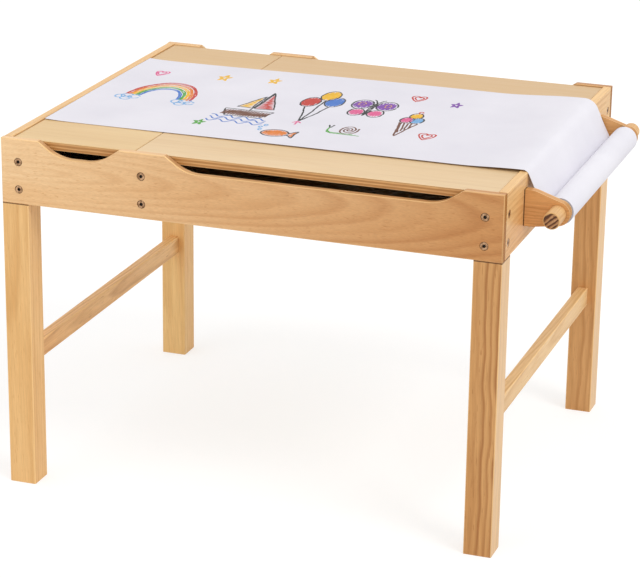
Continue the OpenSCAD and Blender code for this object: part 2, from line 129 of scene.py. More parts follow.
class Tree:
    """The node tree of a material or a world, with short calls for the nodes used here."""

    def __init__(self, name, world=False):
        self.owner = (bpy.data.worlds if world else bpy.data.materials).new(name)
        self.owner.use_nodes = True
        self.nodes, self.links = self.owner.node_tree.nodes, self.owner.node_tree.links
        self.nodes.clear()
        self.out = self.nodes.new("ShaderNodeOutputWorld" if world
                                  else "ShaderNodeOutputMaterial")

    def node(self, kind, inputs=None, **settings):
        """A new node. inputs are values or links, by name or number."""
        made = self.nodes.new(kind)
        for key, value in settings.items():
            setattr(made, key, value)
        for key, value in (inputs or {}).items():
            self.put(made.inputs[key], value)
        return made

    def put(self, socket, value):
        """Links a socket, or a node's first output, to an input, or sets a plain value there."""
        if isinstance(value, bpy.types.NodeSocket):
            self.links.new(value, socket)
        elif isinstance(value, bpy.types.Node):
            self.links.new(value.outputs[0], socket)
        else:
            socket.default_value = value

    def math(self, operation, a, b=0.0, clamp=False):
        return self.node("ShaderNodeMath", {0: a, 1: b}, operation=operation,
                         use_clamp=clamp).outputs[0]

    def plus(self, a, b):
        return self.math("ADD", a, b)

    def times(self, a, b, clamp=False):
        return self.math("MULTIPLY", a, b, clamp)

    def length(self, a, b):
        return self.math("SQRT", self.plus(self.times(a, a), self.times(b, b)))

    def remap(self, value, lo, hi, to_lo=0.0, to_hi=1.0, smooth=False):
        made = self.node("ShaderNodeMapRange", {"Value": value, "From Min": lo, "From Max": hi,
                                                "To Min": to_lo, "To Max": to_hi})
        made.interpolation_type = "SMOOTHSTEP" if smooth else "LINEAR"
        return made.outputs["Result"]

    def mix(self, share, a, b, blend="MIX"):
        made = self.node("ShaderNodeMix", data_type="RGBA", blend_type=blend)
        self.put(made.inputs["Factor"], share)
        self.put(made.inputs["A"], a)
        self.put(made.inputs["B"], b)
        return made.outputs["Result"]

    def tinted(self, colour, tint):
        return self.mix(1.0, colour, tint, "MULTIPLY")

    def turn(self, vector, angles, move=(0, 0, 0)):
        return self.node("ShaderNodeMapping", {"Vector": vector, "Rotation": angles,
                                               "Location": move}).outputs[0]

    def place(self, angles=(0, 0, 0), move=(0, 0, 0)):
        """The object's own coordinates, turned and then moved."""
        return self.turn(self.node("ShaderNodeTexCoord").outputs["Object"], angles, move)

    def parts(self, vector):
        """The X, Y and Z of a vector, by name or in that order."""
        return self.node("ShaderNodeSeparateXYZ", {0: vector}).outputs

    def facing(self, axis):
        """How far the surface faces along an axis, whichever way: from 0 to 1."""
        normal = self.node("ShaderNodeNewGeometry").outputs["Normal"]
        return self.math("ABSOLUTE", self.parts(normal)[axis])

    def painted_light(self, share):
        """The faces' painted highlight or shade times a share, and 0 where that is below 0."""
        tone = self.node("ShaderNodeAttribute", attribute_name=PAINTED_LIGHT_LAYER).outputs["Fac"]
        return self.times(tone, share, clamp=True)

    def noise(self, vector, scale, detail=3.0, rough=0.55, distortion=0.0, move=(0, 0, 0)):
        """Noise between 0 and 1. scale is how fine it is, as a number or as one per axis."""
        if isinstance(scale, tuple):
            vector = self.node("ShaderNodeMapping",
                               {"Vector": vector, "Scale": scale, "Location": move})
            scale = 1.0
        return self.node("ShaderNodeTexNoise",
                         {"Vector": vector, "Scale": scale, "Detail": detail,
                          "Roughness": rough, "Distortion": distortion}).outputs["Fac"]

    def ramp(self, value, stops):
        made = self.node("ShaderNodeValToRGB", {"Fac": value})
        elements = made.color_ramp.elements
        while len(elements) < len(stops):
            elements.new(0.5)
        for element, (at, colour) in zip(elements, stops):
            element.position, element.color = at, colour
        return made.outputs["Color"]

    def bump(self, height, strength, depth):
        """A bumpy normal; depth is in mm."""
        return self.node("ShaderNodeBump", {"Height": height, "Strength": strength,
                                            "Distance": depth * MM}).outputs["Normal"]

    def surface(self, shader):
        """Ends the tree with a shader and gives the material or world."""
        self.put(self.out.inputs["Surface"], shader)
        return self.owner

    def finish(self, colour, rough, normal, **others):
        """Ends the tree with a plain surface; others are more of its inputs, by their names."""
        inputs = {"Base Color": colour, "Roughness": rough, "Normal": normal}
        inputs.update({key.replace("_", " "): value for key, value in others.items()})
        return self.surface(self.node("ShaderNodeBsdfPrincipled", inputs))


# Materials

GRAIN_TURN = {"X": (0, 0, 0), "Y": (0, 0, -math.pi / 2), "Z": (0, math.pi / 2, 0)}
RIPPLE = 2.4 * MM    # how far rings stray across a board
PLIES = 5
STRIPE = 5.8 * MM    # between the growth rings of the dowel's end
TURN = 0.42 * MM     # between the roll's turns, as its ends show them


def late_wood(tree, body, rings, waver, sway):
    """How dark the growth rings are at each place. They stand round the body's X axis, rings mm
    apart, and stray slowly along it by waver mm, sway times per metre."""
    stray = tree.noise(body, (sway, 12, 12), 2.0, 0.5)
    ripple = tree.noise(body, (10, 70, 70), 2.0, 0.5)
    _, y, z = tree.parts(body)
    radius = tree.plus(tree.length(y, z), tree.times(stray, waver * MM))
    radius = tree.plus(radius, tree.times(ripple, RIPPLE))
    count = tree.math("DIVIDE", radius, rings * MM)
    late = tree.ramp(tree.math("FRACT", count), [(0.0, grey(0)), (0.35, grey(0.15)),
                                                 (0.76, grey(1)), (0.90, grey(0.6)),
                                                 (1.0, grey(0))])
    # some rings stand out, others hardly show
    ring = tree.node("ShaderNodeCombineXYZ", {0: tree.math("FLOOR", count)})
    return tree.times(late, tree.remap(tree.noise(ring, 7.3, 0.0), 0.3, 0.7, 0.3, 1.0))


def pine(node, grain, tones, seed, rings=5.0, tilt=(1.5, 1.0), pith=(25, 0), contrast=0.6,
         fibre=0.5, end="#B98450", fade=None, waver=13, sway=2.6, side=None):
    """Lacquered pine for a board. grain is the axis of its fibres and tones its pale, middle
    and dark colours. The rings stand round a pith line, pith mm behind the board's middle and
    above it, which runs tilt degrees aslant, so that the faces show long flames. rings, waver
    and sway are late_wood's, contrast is the rings' strength and fibre the fine threads', end
    the end grain's colour, fade a tint towards the right end, with fainter rings at the left,
    and side a painted highlight: the paler colour of faces to the left and right, where the
    light from the right falls."""
    draw = random.Random(seed)
    tree = Tree("pine_" + node)
    lo, hi = BOX[node]
    middle = tree.place(move=-(lo + hi) / 2)
    along = tree.turn(middle, GRAIN_TURN[grain])
    body = tree.turn(along, (0, math.radians(tilt[1]), math.radians(tilt[0])),
                     (draw.uniform(1, 9), -pith[0] * MM, -pith[1] * MM))
    late = late_wood(tree, body, rings, waver, sway)
    if fade:
        reach = tree.remap(tree.parts(middle)["X"], lo.x, hi.x)
        late = tree.times(late, tree.remap(reach, 0.1, 0.5, 0.45, 1.0, smooth=True))
    threads = tree.noise(body, (5, 420, 420), 4.0, 0.6)
    fine = tree.noise(body, (14, 1500, 1500), 2.0, 0.5)
    cloud = tree.noise(body, (2.5, 14, 14), 2.0, 0.5)
    resin = tree.noise(body, (70, 900, 900), 0.0)
    speck = tree.noise(body, 900, 2.0)
    pale, mid, dark = [linear(tone) for tone in tones]
    colour = tree.mix(tree.remap(cloud, 0.32, 0.68, 0.0, 0.9, smooth=True), pale, mid)
    colour = tree.mix(tree.times(late, contrast), colour, dark)
    colour = tree.mix(tree.remap(threads, 0.3, 0.7, 0.0, fibre), colour,
                      tree.mix(0.5, colour, dark))
    colour = tree.tinted(colour, tree.remap(fine, 0.35, 0.65, 0.93, 1.05))
    colour = tree.mix(tree.remap(resin, 0.72, 0.80, 0.0, 0.5), colour, dark)
    if fade:
        colour = tree.mix(reach, colour, tree.tinted(colour, linear(fade)))
    # painted highlight on the faces to the left and right
    if side:
        colour = tree.mix(tree.remap(tree.facing("X"), 0.6, 0.9, 0.0, 0.6), colour,
                          linear(side))
    # sawn end grain drinks more lacquer and is darker, also on the cut-outs' slopes
    sawn = tree.times(tree.remap(tree.facing(grain), 0.3, 0.7),
                      tree.remap(speck, 0.3, 0.7, 0.75, 1.0))
    colour = tree.mix(sawn, colour, linear(end))
    # painted highlights make the rounded arrises paler, and painted shade makes the joints
    # between boards dark
    colour = tree.mix(tree.painted_light(0.8), colour, linear("#FFD79A"))
    colour = tree.mix(tree.painted_light(-1.0), colour, linear("#3A1E0C"))
    rough = tree.remap(threads, 0.3, 0.7, 0.38, 0.52)
    gloss = tree.times(tree.math("SUBTRACT", 1.0, sawn), 0.35)
    height = tree.plus(tree.times(threads, 0.7), tree.times(late, 0.4))
    return tree.finish(colour, rough, tree.bump(height, 0.25, 0.4), Specular_IOR_Level=gloss)


def ply_lid(name, seed, pale, mid):
    """Pale veneered board: faint grain along X on its faces and plies on its edges."""
    draw = random.Random(seed)
    tree = Tree(name)
    along = tree.place()
    move = [draw.uniform(-1, 1) for _ in range(3)]
    cloud = tree.noise(along, (1.1, 5, 5), 3.0, 0.55, 0.4, move)
    flame = tree.noise(along, (2.2, 26, 26), 3.0, 0.6, 1.1, move)
    threads = tree.noise(along, (6, 360, 360), 4.0, 0.6, move=move)
    fine = tree.noise(along, (26, 1300, 1300), 2.0, move=move)
    dark = linear("#C79C62")
    colour = tree.mix(tree.remap(cloud, 0.3, 0.7, 0.0, 0.8, smooth=True), linear(pale),
                      linear(mid))
    colour = tree.mix(tree.remap(flame, 0.5, 0.62, 0.0, 0.14), colour, dark)
    colour = tree.mix(tree.remap(threads, 0.35, 0.7, 0.0, 0.15), colour, dark)
    colour = tree.tinted(colour, tree.remap(fine, 0.35, 0.65, 0.96, 1.03))
    # a little duller towards the back
    _, y, z = tree.parts(along)
    colour = tree.mix(tree.remap(y, FRONT, REAR, 0.0, 0.8), colour, linear("#CDA878"))
    # every second ply has its fibres' ends outward and is darker
    wave = tree.noise(along, (12, 12, 90), 2.0, move=move)
    level = tree.plus(tree.remap(z, LID_LOW, LID_TOP, 0.0, PLIES),
                      tree.remap(wave, 0.3, 0.7, -0.14, 0.14))
    ply = tree.ramp(tree.math("PINGPONG", level, 1.0),
                    [(0.0, linear("#DDAC70")), (0.42, linear("#D6A264")),
                     (0.55, linear("#A8713A")), (1.0, linear("#BC8648"))])
    streak = tree.noise(along, (40, 40, 900), 3.0, move=move)
    ply = tree.mix(tree.remap(streak, 0.4, 0.7, 0.0, 0.5), ply, linear("#9C6C38"))
    colour = tree.mix(tree.remap(tree.facing("Z"), 0.35, 0.5), ply, colour)
    # painted highlight on the rounded edges
    colour = tree.mix(tree.painted_light(0.35), colour, linear("#F6E3BE"))
    rough = tree.remap(threads, 0.3, 0.7, 0.40, 0.52)
    return tree.finish(colour, rough, tree.bump(threads, 0.15, 0.3), Specular_IOR_Level=0.4,
                       Coat_Weight=0.05, Coat_Roughness=0.3)


def dowel_end_grain():
    """The dowel's sawn end: wide growth rings cut across, with dark bands between pale ones."""
    tree = Tree("dowel_end_grain")
    at = tree.place((0, math.radians(40), 0))
    wave = tree.noise(at, (60, 60, 160), 2.0)
    level = tree.plus(tree.times(tree.parts(at)["Z"], 1 / STRIPE),
                      tree.remap(wave, 0.3, 0.7, -0.28, 0.28))
    colour = tree.ramp(tree.math("FRACT", level),
                       [(0.0, linear("#CC9C6E")), (0.36, linear("#A87444")),
                        (0.52, linear("#643614")), (0.84, linear("#46240A")),
                        (0.94, linear("#9A6638")), (1.0, linear("#CC9C6E"))])
    speck = tree.noise(at, 1500)
    colour = tree.mix(tree.remap(speck, 0.4, 0.7, 0.0, 0.4), colour, linear("#4E2C14"))
    return tree.finish(colour, 0.62, tree.bump(speck, 0.4, 0.5))


def paper_material(name, rolled=False):
    """Matt drawing paper. Rolled paper shows the edges of its turns at its ends."""
    tree = Tree(name)
    at = tree.place()
    pulp = tree.noise(at, 900, 4.0, 0.6)
    cloud = tree.noise(at, 9)
    # faint grey clouds: painted soft shade of shallow wrinkles
    colour = tree.mix(tree.remap(cloud, 0.3, 0.7), linear("#ECEAF0"), linear("#E5E3EA"))
    # painted shade: the part that lies on the lids is a little greyer than the fall and the roll
    lying = tree.remap(tree.parts(at)["X"], RIGHT - 4 * CM, RIGHT + 1 * CM, 1.0, 0.0,
                       smooth=True)
    colour = tree.mix(lying, colour, tree.tinted(colour, linear("#F7F6F7")))
    colour = tree.mix(tree.remap(pulp, 0.4, 0.75, 0.0, 0.16), colour, linear("#D4D2DC"))
    if rolled:
        x, _, z = tree.parts(tree.place(move=-(ROLL_LO + ROLL_HI) / 2))
        angle = tree.math("DIVIDE", tree.math("ARCTAN2", z, x), 2 * math.pi)
        turns = tree.plus(tree.math("DIVIDE", tree.length(x, z), TURN), angle)
        line = tree.remap(tree.math("PINGPONG", tree.math("FRACT", turns), 0.5),
                          0.0, 0.22, 0.8, 0.35)
        at_end = tree.remap(tree.facing("Y"), 0.6, 0.9)
        colour = tree.mix(tree.times(at_end, line), colour, linear("#77757E"))
    return tree.finish(colour, 0.78, tree.bump(pulp, 0.10, 0.2), IOR=1.45)


def crayon(name, colour):
    """Wax crayon: the paper's grain shows through where the stroke is thin."""
    tree = Tree(name)
    at = tree.place()
    tooth = tree.noise(at, 1100, 4.0, 0.7)
    press = tree.noise(at, 130, 3.0, 0.6)
    cover = tree.plus(tree.times(tooth, 0.6), tree.times(press, 0.5))
    wax = tree.mix(tree.remap(press, 0.3, 0.7, 0.0, 0.15), linear(colour), grey(0.02))
    shown = tree.mix(tree.remap(cover, 0.34, 0.46, 0.45, 0.0), wax, linear("#E8E6EC"))
    return tree.finish(shown, 0.6, tree.bump(cover, 0.3, 0.2))


def metal(name, colour, worn, rough):
    """Plated steel with fine turning marks and duller patches, partly dulled by its lacquer."""
    tree = Tree(name)
    at = tree.place()
    marks = tree.noise(at, 1800, 3.0, 0.6)
    patch = tree.noise(at, 220)
    plated = tree.mix(tree.remap(patch, 0.38, 0.62, 0.0, 0.9), linear(colour), linear(worn))
    # painted shade in the bolts' sockets and round the rims of their heads
    plated = tree.mix(tree.painted_light(-1.0), plated, linear("#24170C"))
    return tree.finish(plated, tree.remap(marks, 0.3, 0.7, rough - 0.06, rough + 0.1),
                       tree.bump(marks, 0.15, 0.1), Metallic=0.6)


def cardboard():
    """Grey-brown tube board with paper fibres along its turns."""
    tree = Tree("tube_board")
    at = tree.place()
    fibre = tree.noise(at, (500, 140, 500), 4.0, 0.65)
    patch = tree.noise(at, 60)
    colour = tree.mix(tree.remap(patch, 0.3, 0.7), linear("#B98F63"), linear("#A67D53"))
    colour = tree.mix(tree.remap(fibre, 0.45, 0.75, 0.0, 0.5), colour, linear("#8A6641"))
    return tree.finish(colour, 0.85, tree.bump(fibre, 0.35, 0.4))


# Mesh helpers

SAME_POINT = 0.005 * MM
SAME_PLANE = math.radians(0.4)
SHARP = math.radians(50)  # edges over this angle are rounded
AXES = range(3)


def spread(a, b, n):
    """The n + 1 numbers from a to b in equal steps."""
    return [a + (b - a) * i / n for i in range(n + 1)]


def mesh_from(bm, name):
    """The finished bmesh as a mesh."""
    mesh = bpy.data.meshes.new(name)
    bm.to_mesh(mesh)
    bm.free()
    return mesh


def new_object(name, mesh, material, slot=None):
    """An object in the scene, with its material; slot is not used."""
    obj = bpy.data.objects.new(name, mesh)
    bpy.context.scene.collection.objects.link(obj)
    mesh.materials.append(material)
    return obj


def shade(obj, angle=35, flat_faces=True):
    """Smooth shading with sharp edges over this angle, and flat faces kept flat if asked."""
    mesh = obj.data
    mesh.polygons.foreach_set("use_smooth", [True] * len(mesh.polygons))
    mesh.set_sharp_from_angle(angle=math.radians(angle))
    if flat_faces:
        weighted = obj.modifiers.new("flat_faces", "WEIGHTED_NORMAL")
        weighted.keep_sharp = True


def round_edges(bm, layer, width, steps):
    """Rounds the sharp edges, and gives the new faces a painted highlight."""
    edges = [e for e in bm.edges if len(e.link_faces) == 2 and e.calc_face_angle(0) > SHARP]
    if edges:
        made = bmesh.ops.bevel(bm, geom=edges, offset=width, offset_type="OFFSET",
                               segments=steps, profile=0.5, affect="EDGES", clamp_overlap=True)
        for face in made["faces"]:
            face[layer] = 0.6


def eased(node, material, width=0.5 * MM, steps=2, mark=None):
    """Adds a copy of a CAD node with its sharp edges rounded, which stands for the node. Where
    the CAD rounds them already, width is 0. mark sets the faces' painted highlights and shade."""
    bm = bmesh.new()
    bm.from_mesh(frame["nodes"][node].data)
    layer = bm.faces.layers.float.new(PAINTED_LIGHT_LAYER)
    bmesh.ops.remove_doubles(bm, verts=bm.verts, dist=SAME_POINT)
    bmesh.ops.dissolve_limit(bm, angle_limit=SAME_PLANE, verts=bm.verts, edges=bm.edges)
    if width:
        round_edges(bm, layer, width, steps)
    if mark:
        mark(bm, layer)
    obj = new_object("eased_" + node, mesh_from(bm, "eased_" + node), material, SLOT_OF[node])
    shade(obj)
    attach(obj, BODY_OF[node])
    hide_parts(node)


def lathe(name, profile, axis_x, axis_z, material, end_material=None, segments=96):
    """A solid of revolution round a line along Y. profile is a list of (y, radius), and
    end_material is for the faces that stand across the line."""
    bm = bmesh.new()
    rings = []
    for y, radius in profile:
        angles = [2 * math.pi * k / segments for k in range(segments)] if radius > 0 else [0]
        rings.append([bm.verts.new((axis_x + radius * math.cos(angle), y,
                                    axis_z + radius * math.sin(angle))) for angle in angles])
    for (y0, _), (y1, _), a, b in zip(profile, profile[1:], rings, rings[1:]):
        for k in range(segments):
            after = (k + 1) % segments
            corners = [a[k % len(a)], a[after % len(a)], b[after % len(b)], b[k % len(b)]]
            face = bm.faces.new(list(dict.fromkeys(corners)))
            if end_material and y0 == y1:
                face.material_index = 1
    bmesh.ops.recalc_face_normals(bm, faces=bm.faces)
    obj = new_object(name, mesh_from(bm, name), material)
    if end_material:
        obj.data.materials.append(end_material)
    shade(obj, 30)
    return obj


# Painted highlights on edges, and painted shade at joints and bolt heads

CUT_DEPTH = 22.5 * MM   # of the finger cut-outs
ARRIS = 1.6 * MM        # within this of two sides of its box, a board's face is its arris
RIM = 4 * MM            # the band of painted highlight on the long aprons' top edges and cut-outs
JOINT = 1.2 * MM        # the band of painted shade at the joints with the end boards
SHOULDER_LINE = 1.3 * MM
BRACKET_RIM = 1.4 * MM
TOP_BAND = 2 * MM
TOUCH = 0.1 * MM
HAIR = 0.01 * MM
ON_CUT = 1e-7           # corners this near to a cut's plane lie on it
FLAT_SIDE = 0.985       # the least part of a flat side's normal along its axis
SOCKET, HEAD_RIM = 0.5, 0.95  # shares of a bolt head's radius


def marker(slices, tones):
    """A function for eased that cuts the faces at slices, which are pairs of an axis and a
    place on it, and then sets each tone of painted highlight or shade where its test of a
    face's middle and normal holds."""
    def mark(bm, layer):
        for axis, at in slices:
            across = Vector([float(k == axis) for k in AXES])
            bmesh.ops.bisect_plane(bm, geom=[*bm.verts, *bm.edges, *bm.faces], dist=ON_CUT,
                                   plane_co=across * at, plane_no=across)
        bm.normal_update()
        for test, tone in tones:
            for face in bm.faces:
                if test(face.calc_center_median(), face.normal):
                    face[layer] = tone
    return mark


def on_arris(node):
    """A test for the faces of a board's rounded outer edges."""
    lo, hi = BOX[node]

    def test(at, normal):
        near = sum(min(at[k] - lo[k], hi[k] - at[k]) < ARRIS for k in AXES)
        return near >= 2 and max(abs(c) for c in normal) < FLAT_SIDE
    return test


def mark_long_apron(node, outer, inward, top):
    """Painted highlights on a long apron's arrises and cut-out rims, and painted shade at its
    joints with the end boards. outer is its outer face's place, inward the direction to its
    inner face along Y and top the painted highlight of its top edge."""
    lo, hi = BOX[node]
    rim, joint = outer + inward * RIM, outer + inward * (hi.y - lo.y - JOINT)

    def on_rim(at, normal):
        return normal.z > 0.3 and (rim - at.y) * inward > 0

    def on_joint(at, normal):
        return (abs(normal.x) > 0.9 and (at.y - joint) * inward > 0
                and min(at.x - lo.x, hi.x - at.x) < TOUCH)

    return marker([(1, rim), (1, joint)],
                  [(on_arris(node), 0.45),
                   (lambda at, n: on_rim(at, n) and at.z > TOP - CUT_DEPTH - TOUCH, 1.0),
                   (lambda at, n: on_rim(at, n) and at.z > TOP - TOP_BAND, top),
                   (on_joint, -1.0)])


def mark_end_apron():
    """A painted highlight along an end board's top edge."""
    return marker([], [(lambda at, n: n.z > 0.3 and at.z > TOP - TOP_BAND, 0.45)])


def mark_leg(node):
    """Painted highlights on a leg's arrises, and painted shade in a line where the aprons sit on
    it.
    """
    line = SHOULDER - SHOULDER_LINE
    return marker([(2, line)],
                  [(on_arris(node), 0.6),
                   (lambda at, n: line < at.z < SHOULDER - HAIR and abs(n.z) < 0.5, -0.8)])


def mark_rail(node):
    """Painted highlights on a rail's arrises."""
    return marker([], [(on_arris(node), 0.6)])


def mark_bracket(node):
    """A painted highlight round a bracket's outline, and painted shade where it meets the
    table's end.
    """
    lo, hi = BOX[node]
    front, rear, joint = lo.y + BRACKET_RIM, hi.y - BRACKET_RIM, RIGHT + BRACKET_RIM
    return marker([(1, front), (1, rear), (0, joint)],
                  [(lambda at, n: abs(n.y) < 0.3 and not front <= at.y <= rear, 0.6),
                   (lambda at, n: at.x < joint, -0.9)])


def islands(bm):
    """The separate solids of a mesh, as lists of their vertices."""
    left = set(bm.verts)
    while left:
        stack, found = [left.pop()], []
        while stack:
            vert = stack.pop()
            found.append(vert)
            for edge in vert.link_edges:
                other = edge.other_vert(vert)
                if other in left:
                    left.remove(other)
                    stack.append(other)
        yield found


def mark_bolt_heads(bm, layer):
    """Paints shade into each bolt's socket and round the rim of its head."""
    for solid in islands(bm):
        lo = [min(v.co[k] for v in solid) for k in AXES]
        hi = [max(v.co[k] for v in solid) for k in AXES]
        axis = max(AXES, key=lambda k: hi[k] - lo[k])
        across = [k for k in AXES if k != axis]
        head = (hi[across[0]] - lo[across[0]]) / 2
        for face in {f for v in solid for f in v.link_faces}:
            off = [math.hypot(*[v.co[k] - (lo[k] + hi[k]) / 2 for k in across])
                   for v in face.verts]
            in_socket, on_rim = max(off) < SOCKET * head, min(off) > HEAD_RIM * head
            face[layer] = -1.0 if in_socket else -0.85 if on_rim else 0.0


# The wooden parts and their fasteners


def make_aprons():
    tones = ("#FAD4A2", "#F1C38C", "#CE965E")
    shady = ("#EFC896", "#E4B680", "#C28C54")
    look = dict(rings=8.0, contrast=0.58, fibre=0.35, end="#A8703A", fade="#D5B99B", waver=17)
    eased("front_apron", pine("front_apron", "X", tones, 3, tilt=(-6, 0.6), pith=(26, 6),
                              **look), 0, mark=mark_long_apron("front_apron", FRONT, 1, 0.5))
    eased("rear_apron", pine("rear_apron", "X", shady, 8, tilt=(5, 0.9), pith=(-30, 8),
                             **look), 0, mark=mark_long_apron("rear_apron", REAR, -1, 0.0))
    eased("left_apron", pine("left_apron", "Y", ("#E9C18A", "#DDAE76", "#BC844C"), 12,
                             tilt=(2.4, 0.7), pith=(28, 5), rings=7.0), 0.4 * MM,
          mark=mark_end_apron())
    eased("right_apron", pine("right_apron", "Y", ("#F2C88C", "#E4AE6E", "#BE7F40"), 21,
                              tilt=(2.0, 0.9), pith=(-24, 6), rings=7.0, contrast=0.55),
          0.4 * MM, mark=mark_end_apron())


def make_legs_and_rails():
    golden, brown = ("#F5C98B", "#EBBA79", "#CC924F"), ("#DDA86B", "#CA9256", "#9B5F29")
    amber, fair = ("#E4B074", "#D49E64", "#AC7038"), ("#FFD896", "#FAC886", "#DAA05A")
    legs = {"front_left_leg": golden, "rear_left_leg": fair, "front_right_leg": brown,
            "rear_right_leg": amber}
    for seed, (node, tones) in enumerate(legs.items(), 31):
        if "right" in node:
            # the right legs get a painted highlight on their side faces
            look = dict(rings=8.0, pith=(24, 46), waver=22, sway=6, side="#F2D0A0",
                        contrast=0.9 if "front" in node else 0.6)
        else:
            look = dict(rings=6.5, pith=(34, 12), contrast=0.45)
        eased(node, pine(node, "Z", tones, seed, tilt=(1.2, 1.6), fibre=0.6, **look), 0,
              mark=mark_leg(node))
    rails = {"left_stretcher": ("#FFD294", "#F6C080", "#BE8246"),
             "right_stretcher": ("#F5D5A4", "#ECC48C", "#CC9858")}
    for seed, (node, tones) in enumerate(rails.items(), 51):
        eased(node, pine(node, "Y", tones, seed, contrast=0.75), 0.6 * MM, mark=mark_rail(node))
    eased("stretcher_pins", pine("stretcher_pins", "Y", golden, 91), 0.1 * MM, steps=1)


def make_bins_and_lids():
    inner = ("#E8C594", "#DBB37D", "#B98552")
    for seed, node in enumerate(("bin_divider", "left_lid_cleat", "divider_lid_cleat",
                                 "right_lid_cleat"), 61):
        eased(node, pine(node, "Y", inner, seed, end="#C39561"), 0.4 * MM)
    eased("bin_floor", pine("bin_floor", "X", ("#EED9B2", "#E2C797", "#C9A36C"), 68, rings=14,
                            contrast=0.3), 0.3 * MM)
    eased("left_lid", ply_lid("ply_left_lid", 71, "#E9C994", "#DFBC86"))
    eased("right_lid", ply_lid("ply_right_lid", 72, "#EACDA2", "#E0C092"))


def make_brackets():
    tones = ("#E8B072", "#D69C5C", "#AC7036")
    for seed, node in enumerate(("front_roll_bracket", "rear_roll_bracket"), 81):
        eased(node, pine(node, "X", tones, seed, rings=3.6, tilt=(2.0, 3.0), pith=(14, 20),
                         end="#C08A52"), 0, mark=mark_bracket(node))


def make_dowel():
    lo, hi = BOX["roll_dowel"]
    radius, x, z = (hi.z - lo.z) / 2, (lo.x + hi.x) / 2, (lo.z + hi.z) / 2
    ease = 1.5 * MM
    curve = [(lo.y + ease * (1 - math.sin(angle)), radius - ease * (1 - math.cos(angle)))
             for angle in [math.radians(degrees) for degrees in (90, 68, 45, 22, 0)]]
    mirrored = [(lo.y + hi.y - y, at) for y, at in reversed(curve)]
    wood = pine("roll_dowel", "Y", ("#EEC68C", "#E2B074", "#BC8246"), 92, rings=3.0,
                pith=(4, 12), contrast=0.5, end="#D9AC72")
    obj = lathe("turned_dowel", [(lo.y, 0.0), *curve, *mirrored, (hi.y, 0.0)], x, z, wood,
                dowel_end_grain())
    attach(obj, "dowel")
    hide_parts("roll_dowel")


def make_fasteners():
    bronze = metal("bronzed_bolts", "#CFA680", "#7C5634", 0.32)
    zinc = metal("zinc_inserts", "#9C8B6B", "#7D6E52", 0.42)
    steel = metal("zinc_screws", "#B4B4B2", "#8E8E8C", 0.36)
    for node in ("leg_bolts", "divider_bolts"):
        eased(node, bronze, 0.3 * MM, steps=3, mark=mark_bolt_heads)
    for node in ("leg_inserts", "barrel_nuts"):
        eased(node, zinc, 0.15 * MM, steps=1)
    for node in ("bracket_screws", "cleat_screws"):
        eased(node, steel, 0.1 * MM, steps=1)


# Paper

PAPER_FRONT, PAPER_REAR = BOX["paper_sheet"][0].y, BOX["paper_sheet"][1].y
PAPER_W = PAPER_REAR - PAPER_FRONT
PAPER_END = BOX["paper_sheet"][0].x
ROLL_R = 0.94 * (ROLL_HI.z - ROLL_LO.z) / 2  # wound a little tighter than its solid
EDGE_R = 1.5 * MM                            # of the end board's top edge
SHEET_T = 0.3 * MM
SHEET_GAP = 0.3 * MM
STRIPS = 48                                  # across the paper
BEND_R, BEND_WIDENS = 10 * MM, 13 * MM       # at the front edge, and what the rear adds
RISE, RISE_WIDENS = 95 * MM, 35 * MM         # the way up to the bend, in the same manner
CURL_REACH = 0.45                            # from the end to where the edges stand up fully
FRONT_CURL, REAR_CURL, TAIL_CURL = 1.7, 2.8, 1.4  # heights in mm
FRONT_FADE, REAR_FADE = 0.09, 0.12           # how soon they fade, as shares of the width
TAIL_FADE = 18 * MM
SAG = 0.8 * MM                               # of the fall down to the roll


def smooth(u):
    """A soft step from 0 to 1."""
    u = max(0.0, min(1.0, u))
    return (1 - math.cos(math.pi * u)) / 2


def bend_at(v):
    """The paper's bend over the table's end at a share v of its width from its front edge,
    as radius, x and z of its middle, and the length over which the paper rises to it."""
    r = BEND_R + BEND_WIDENS * v
    # the bend passes the board's rounded edge by the gap where both slope at 45 degrees
    slope = math.cos(math.pi / 4)
    off = r - EDGE_R * (1 - slope) - (r - SHEET_GAP) * slope
    return r, RIGHT - r + off, TOP - r + off, RISE + RISE_WIDENS * v


def under_side(x, v):
    """Height of the paper's lower side over the table. It lies on the lids, its long edges
    and free end stand up a little, and it rises to the bend."""
    r, bend_x, bend_z, rise = bend_at(v)
    low = LID_TOP + SHEET_GAP
    out = smooth((x - PAPER_END) / CURL_REACH)
    edges = out * (FRONT_CURL * math.exp(-v / FRONT_FADE)
                   + REAR_CURL * math.exp(-(1 - v) / REAR_FADE))
    # shallow waves along the middle, 17 radians per metre
    ripple = (1 + math.sin(17 * x + 2.3 * v)) * v * (1 - v)
    tail = TAIL_CURL * math.exp(-(x - PAPER_END) / TAIL_FADE)
    risen = smooth((x - bend_x + rise) / rise)
    return low + (edges + ripple + tail) * MM * (1 - risen) + (bend_z + r - low) * risen


def sheet_line(v, xs, bend_n=14, fall_n=12):
    """Pairs of points on the paper's lower and upper side at a share v of its width: over the
    table at the places xs, and from its bend down to the roll where xs runs on to it."""
    line = [((x, under_side(x, v)), (x, under_side(x, v) + SHEET_T)) for x in xs]
    r, bend_x, bend_z, _ = bend_at(v)
    if xs[-1] < bend_x - 1e-6:
        return line
    reach = ROLL_R + SHEET_GAP + SHEET_T
    # the bend ends where a line touches it and, with its other side, the roll
    away_x, away_z = ROLL_X - bend_x, ROLL_Z - bend_z
    last = (math.atan2(away_z, away_x) - math.asin((r + reach) / math.hypot(away_x, away_z))
            + math.pi / 2)
    out = (math.cos(last), math.sin(last))
    for angle in spread(math.pi / 2, last, bend_n)[1:]:
        line.append(tuple((bend_x + side * math.cos(angle), bend_z + side * math.sin(angle))
                          for side in (r, r + SHEET_T)))
    x0, z0 = line[-1][0]
    x1, z1 = ROLL_X - reach * out[0], ROLL_Z - reach * out[1]
    for u in spread(0, 1, fall_n)[1:]:
        x, z = x0 + (x1 - x0) * u - SAG * math.sin(math.pi * u), z0 + (z1 - z0) * u
        line.append(((x, z), (x + SHEET_T * out[0], z + SHEET_T * out[1])))
    return line


